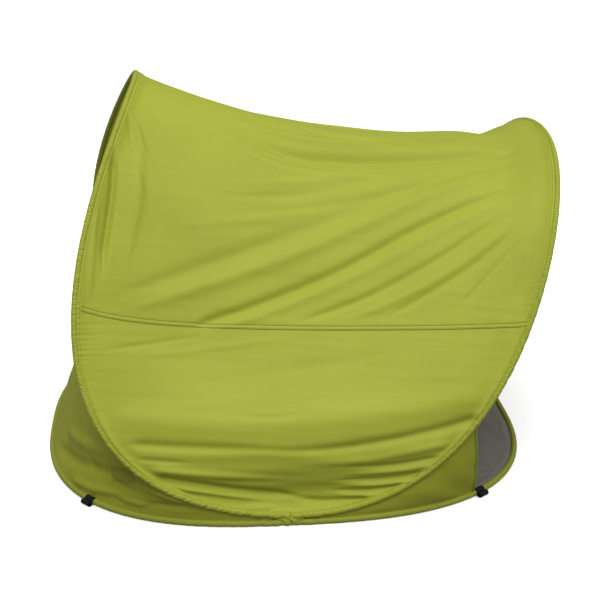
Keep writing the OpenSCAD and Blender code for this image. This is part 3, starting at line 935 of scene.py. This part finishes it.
def tube(name, path, radius, toward):
    """Round rope of cloth along a path, with a radius for each of its points."""
    a, b = path_frame(path, toward)
    phi = np.linspace(0, 2 * math.pi, 12, endpoint=False)
    ring = np.cos(phi)[None, :, None] * a[:, None] + np.sin(phi)[None, :, None] * b[:, None]
    p = path[:, None] + radius[:, None, None] * ring
    rows, cols = p.shape[:2]
    uv = np.stack(np.broadcast_arrays(running_length(path)[:, None], phi[None] * 0.003), -1).reshape(-1, 2)
    return mesh_object(name, p.reshape(-1, 3), tube_faces(rows, cols, flipped=True), uv)


for side, word in ((1, "left"), (-1, "right")):
    s = np.linspace(0.03, 0.97, 90)
    path = mirrored(wing, side)(np.full_like(s, WING_EDGE), s)
    width = 0.0042 + 0.0004 * np.sin(s * 160) * np.sin(s * 37)
    edge = tube(f"{word}_wing_edge", path, width, UP)
    dress(edge, binding_tape)
    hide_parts(f"{word}_wing_binding")
    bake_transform(edge)


# ---------------------------------------------------------------- floor sheet

def floor_cloth_point(angle, k):
    """Floor cloth: k runs from the middle to the edge, where the cloth rises to its sleeve."""
    angle, k = same_shape(angle, k)
    rear = rear_hoop(np.clip(angle, 0, 180))
    front = front_hoop(np.clip(360 - angle, 0, 180))
    rim = np.where((angle <= 180)[..., None], rear, front)
    rim = rim - unit(rim * (1, 1, 0)) * 0.008
    p = rim * k[..., None]
    edge = np.linalg.norm(rim[..., :2], axis=-1) * (1 - k)
    inside = smooth(edge / 0.02)

    # soft waves, then sharper crumples, then short puckers that run in from the edge
    wrinkle = 0.0022 * ripple(p, (0.4, 1, 0), wavelength=0.16, seed=51)
    wrinkle += 0.0016 * ripple(p, (1, 0.3, 0), wavelength=0.09, seed=52)
    wrinkle += 0.0030 * (1 - 2 * np.abs(ripple(p, (0.7, 0.6, 0), wavelength=0.13, seed=53)))
    wrinkle += 0.0022 * (1 - 2 * np.abs(ripple(p, (-0.3, 1, 0), wavelength=0.08, seed=54)))
    pucker = 0.0022 * np.sin(angle * 0.9 + 2 * np.sin(angle * 0.11)) * np.exp(-edge / 0.09)

    z = 0.003 + 0.006 * smooth(1 - edge / 0.045)
    z = z + np.maximum(0, wrinkle + 0.002) * smooth(k * 4) * (0.3 + 0.7 * inside)
    p[..., 2] = z + (pucker + 0.0022) * inside * np.exp(-edge / 0.12)
    return p


floor_rings = np.concatenate([[0.004], steps(0.02, 1, 120)])
floor_spread = cloth_sheet("floor_cloth", floor_cloth_point, steps(0, 360, 560), floor_rings)
dress(floor_spread, floor_cloth)
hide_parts("floor_sheet")
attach(floor_spread, "shelter_base")


# ---------------------------------------------------------------- peg loops

def strap(name, outline, origin, outward):
    """A webbing strap along an outline of (outward, up) points, a little ribbed, with thinner edges."""
    line = np.array(outline, float)
    tangent = unit(np.gradient(line, axis=0))
    normal = np.stack([-tangent[:, 1], tangent[:, 0]], -1)
    across = np.array([-outward[1], outward[0], 0.0])
    top = [(x, 0.5) for x in (-0.47, -0.3, -0.1, 0.1, 0.3, 0.47)]
    top = [(-0.5, 0.25), *top, (0.5, 0.25)]
    ring = top + [(x, -y) for x, y in reversed(top)]
    points, uv = [], []
    for (r, z), (nr, nz), along in zip(line, normal, running_length(line)):
        for x, y in ring:
            off = y * WEBBING_THICKNESS * (1 + 0.10 * math.cos(x * 40))
            sideways = across * (x * WEBBING_WIDTH)
            p = origin + outward * (r + nr * off) + sideways + np.array([0, 0, z + nz * off])
            points.append(p)
            uv.append((along, x * WEBBING_WIDTH))
    return mesh_object(name, points, tube_faces(len(line), len(ring)), uv)


def arc_points(centre, radius, start, end, n):
    """Points of an arc of (outward, up), by its start and end angles in degrees."""
    angles = np.radians(np.linspace(start, end, n))
    return [(centre[0] + radius * math.cos(a), centre[1] + radius * math.sin(a)) for a in angles]


def loop_outline():
    """From the top of the sleeve down its outer side, round the eye and back beneath the sleeve."""
    hoop = (0, FLOOR_Z)
    hug = SLEEVE_R + 0.0013
    eye = (PEG_EYE_AT, PEG_EYE_R + WEBBING_THICKNESS + LOWEST_Z)
    out = arc_points(hoop, hug, 112, 14, 20)
    out += arc_points(eye, PEG_EYE_R + WEBBING_THICKNESS / 2, 120, -150, 34)
    out += arc_points(hoop, hug, -26, -58, 6)
    return out


def outward_at(t, reach):
    """Level direction that points straight out from the floor hoop."""
    d = floor_hoop(np.array([t + 0.5]), reach) - floor_hoop(np.array([t - 0.5]), reach)
    v = np.array([-d[0, 1], d[0, 0], 0.0]) * np.sign(reach)
    return v / np.linalg.norm(v)


# Each is (place, degrees along the floor hoop, reach of that half of the hoop).
LOOPS = [
    ("front_left", FRONT_LOOP_AT, -FLOOR_FRONT),
    ("front_right", 180 - FRONT_LOOP_AT, -FLOOR_FRONT),
    ("rear_left", REAR_LOOP_AT, FLOOR_REAR),
    ("rear_right", 180 - REAR_LOOP_AT, FLOOR_REAR),
]
for word, t, reach in LOOPS:
    origin = floor_hoop(np.array([float(t)]), reach)[0] * (1, 1, 0)
    out = outward_at(t, reach)
    piece = strap(f"{word}_peg_webbing", loop_outline(), origin, out)
    dress(piece, black_webbing)
    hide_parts(f"{word}_peg_loop")
    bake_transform(piece)


# ---------------------------------------------------------------- base ties

def tie_mesh(name, node_name):
    """Cloth patch wrapped and stitched round the crossing hoops: a plump closed form with drawn-in ends."""
    low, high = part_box(node_name)
    centre, half = np.array((low + high) / 2), np.array((high - low) / 2)
    us = np.linspace(-1, 1, 40)
    vs = np.linspace(0, 2 * math.pi, 48, endpoint=False)
    points, uv = [], []
    for u in us:
        for v in vs:
            x = signed_power(math.cos(v), 0.8)
            z = signed_power(math.sin(v), 0.9)
            size = 0.84 - 0.08 * math.sin(4 * v + 9 * u) - 0.05 * math.sin(9 * v - 15 * u + 1)
            size *= 1 - 0.62 * abs(u + 0.12 * math.sin(3 * v)) ** 1.7
            y = half[1] * 3.2 * u + 0.003 * math.sin(5 * v)
            points.append(centre + (half[0] * x * size, y, half[2] * z * size))
            uv.append((u * half[1], v * half[0]))
    return mesh_object(name, points, tube_faces(len(us), len(vs)), uv)


for word in ("left", "right"):
    patch = tie_mesh(f"{word}_corner_patch", f"{word}_base_tie")
    dress(patch, sleeve_cloth)
    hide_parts(f"{word}_base_tie")
    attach(patch, "shelter_base")


# ---------------------------------------------------------------- inner pocket

def pocket(k, s):
    """A shallow pouch on the wall, over 10 degrees of its length and 0.4 of its height."""
    k, s = same_shape(k, s)
    t = 26 + 10 * k
    v = 0.3 + 0.4 * s
    n = normal_of(back_base, t, v)
    puff = 0.004 + 0.006 * np.sin(math.pi * k) * np.sin(math.pi * s)
    return back_base(t, v) + n * puff[..., None]


pocket_cloth = cloth_sheet("left_pocket_cloth", pocket, steps(0, 1, 30), steps(0, 1, 40))
dress(pocket_cloth, wall_cloth)
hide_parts("left_inner_pocket")
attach(pocket_cloth, "shelter_base")


# ---------------------------------------------------------------- what the CAD model shows as it is

for name in ("rear_floor_rod", "front_floor_rod", "rear_arch_rod", "front_arch_rod"):
    dress(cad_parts[name], rod_material)
for name in ("rear_rod_joiner", "front_rod_joiner"):
    dress(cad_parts[name], steel)


# ---------------------------------------------------------------- stage, lights and camera

def add_floor():
    bpy.ops.mesh.primitive_plane_add(size=600, location=(0, 0, 0))
    ground = bpy.context.object
    ground.name = "stage_floor"
    material, _, shader = new_material("stage_floor")
    shader.inputs["Base Color"].default_value = (0.9, 0.9, 0.9, 1)
    shader.inputs["Roughness"].default_value = 0.9
    shader.inputs["Emission Color"].default_value = (1, 1, 1, 1)
    shader.inputs["Emission Strength"].default_value = 0.28
    ground.data.materials.append(material)
    ground.visible_diffuse = False
    ground.visible_glossy = False


def toward_azimuth(azimuth, elevation):
    """Direction at an azimuth and an elevation in degrees. Azimuth 0 is the mouth's side, and 90 is +X."""
    a, e = math.radians(azimuth), math.radians(elevation)
    return Vector((math.sin(a) * math.cos(e), -math.cos(a) * math.cos(e), math.sin(e)))


def add_sun(name, azimuth, elevation, softness, strength):
    light = bpy.data.lights.new(name, "SUN")
    light.energy = strength
    light.angle = math.radians(softness)
    obj = bpy.data.objects.new(name, light)
    away = toward_azimuth(azimuth, elevation)
    obj.rotation_euler = away.to_track_quat("Z", "Y").to_euler()
    obj.location = away * 5
    bpy.context.scene.collection.objects.link(obj)


def add_world(strength):
    world = bpy.data.worlds.new("studio")
    bpy.context.scene.world = world
    world.use_nodes = True
    background = world.node_tree.nodes["Background"]
    background.inputs["Color"].default_value = (1, 1, 1, 1)
    background.inputs["Strength"].default_value = strength


def add_camera(azimuth, elevation, distance, aim, lens):
    data = bpy.data.cameras.new("camera")
    data.lens = lens
    data.sensor_width = 36
    obj = bpy.data.objects.new("camera", data)
    back = toward_azimuth(azimuth, elevation)
    obj.location = Vector(aim) + back * distance
    obj.rotation_euler = (-back).to_track_quat("-Z", "Y").to_euler()
    bpy.context.scene.collection.objects.link(obj)
    bpy.context.scene.camera = obj


bpy.context.scene.view_settings.view_transform = "Standard"
add_floor()
add_world(0.27)
add_sun("key", azimuth=262, elevation=56, softness=45, strength=1.86)
add_sun("top", azimuth=262, elevation=84, softness=80, strength=1.6)
add_sun("fill", azimuth=330, elevation=22, softness=60, strength=0.55)
add_camera(azimuth=264.83, elevation=18.65, distance=4.40, aim=(-0.1318, -0.0856, 0.4559), lens=83.4)
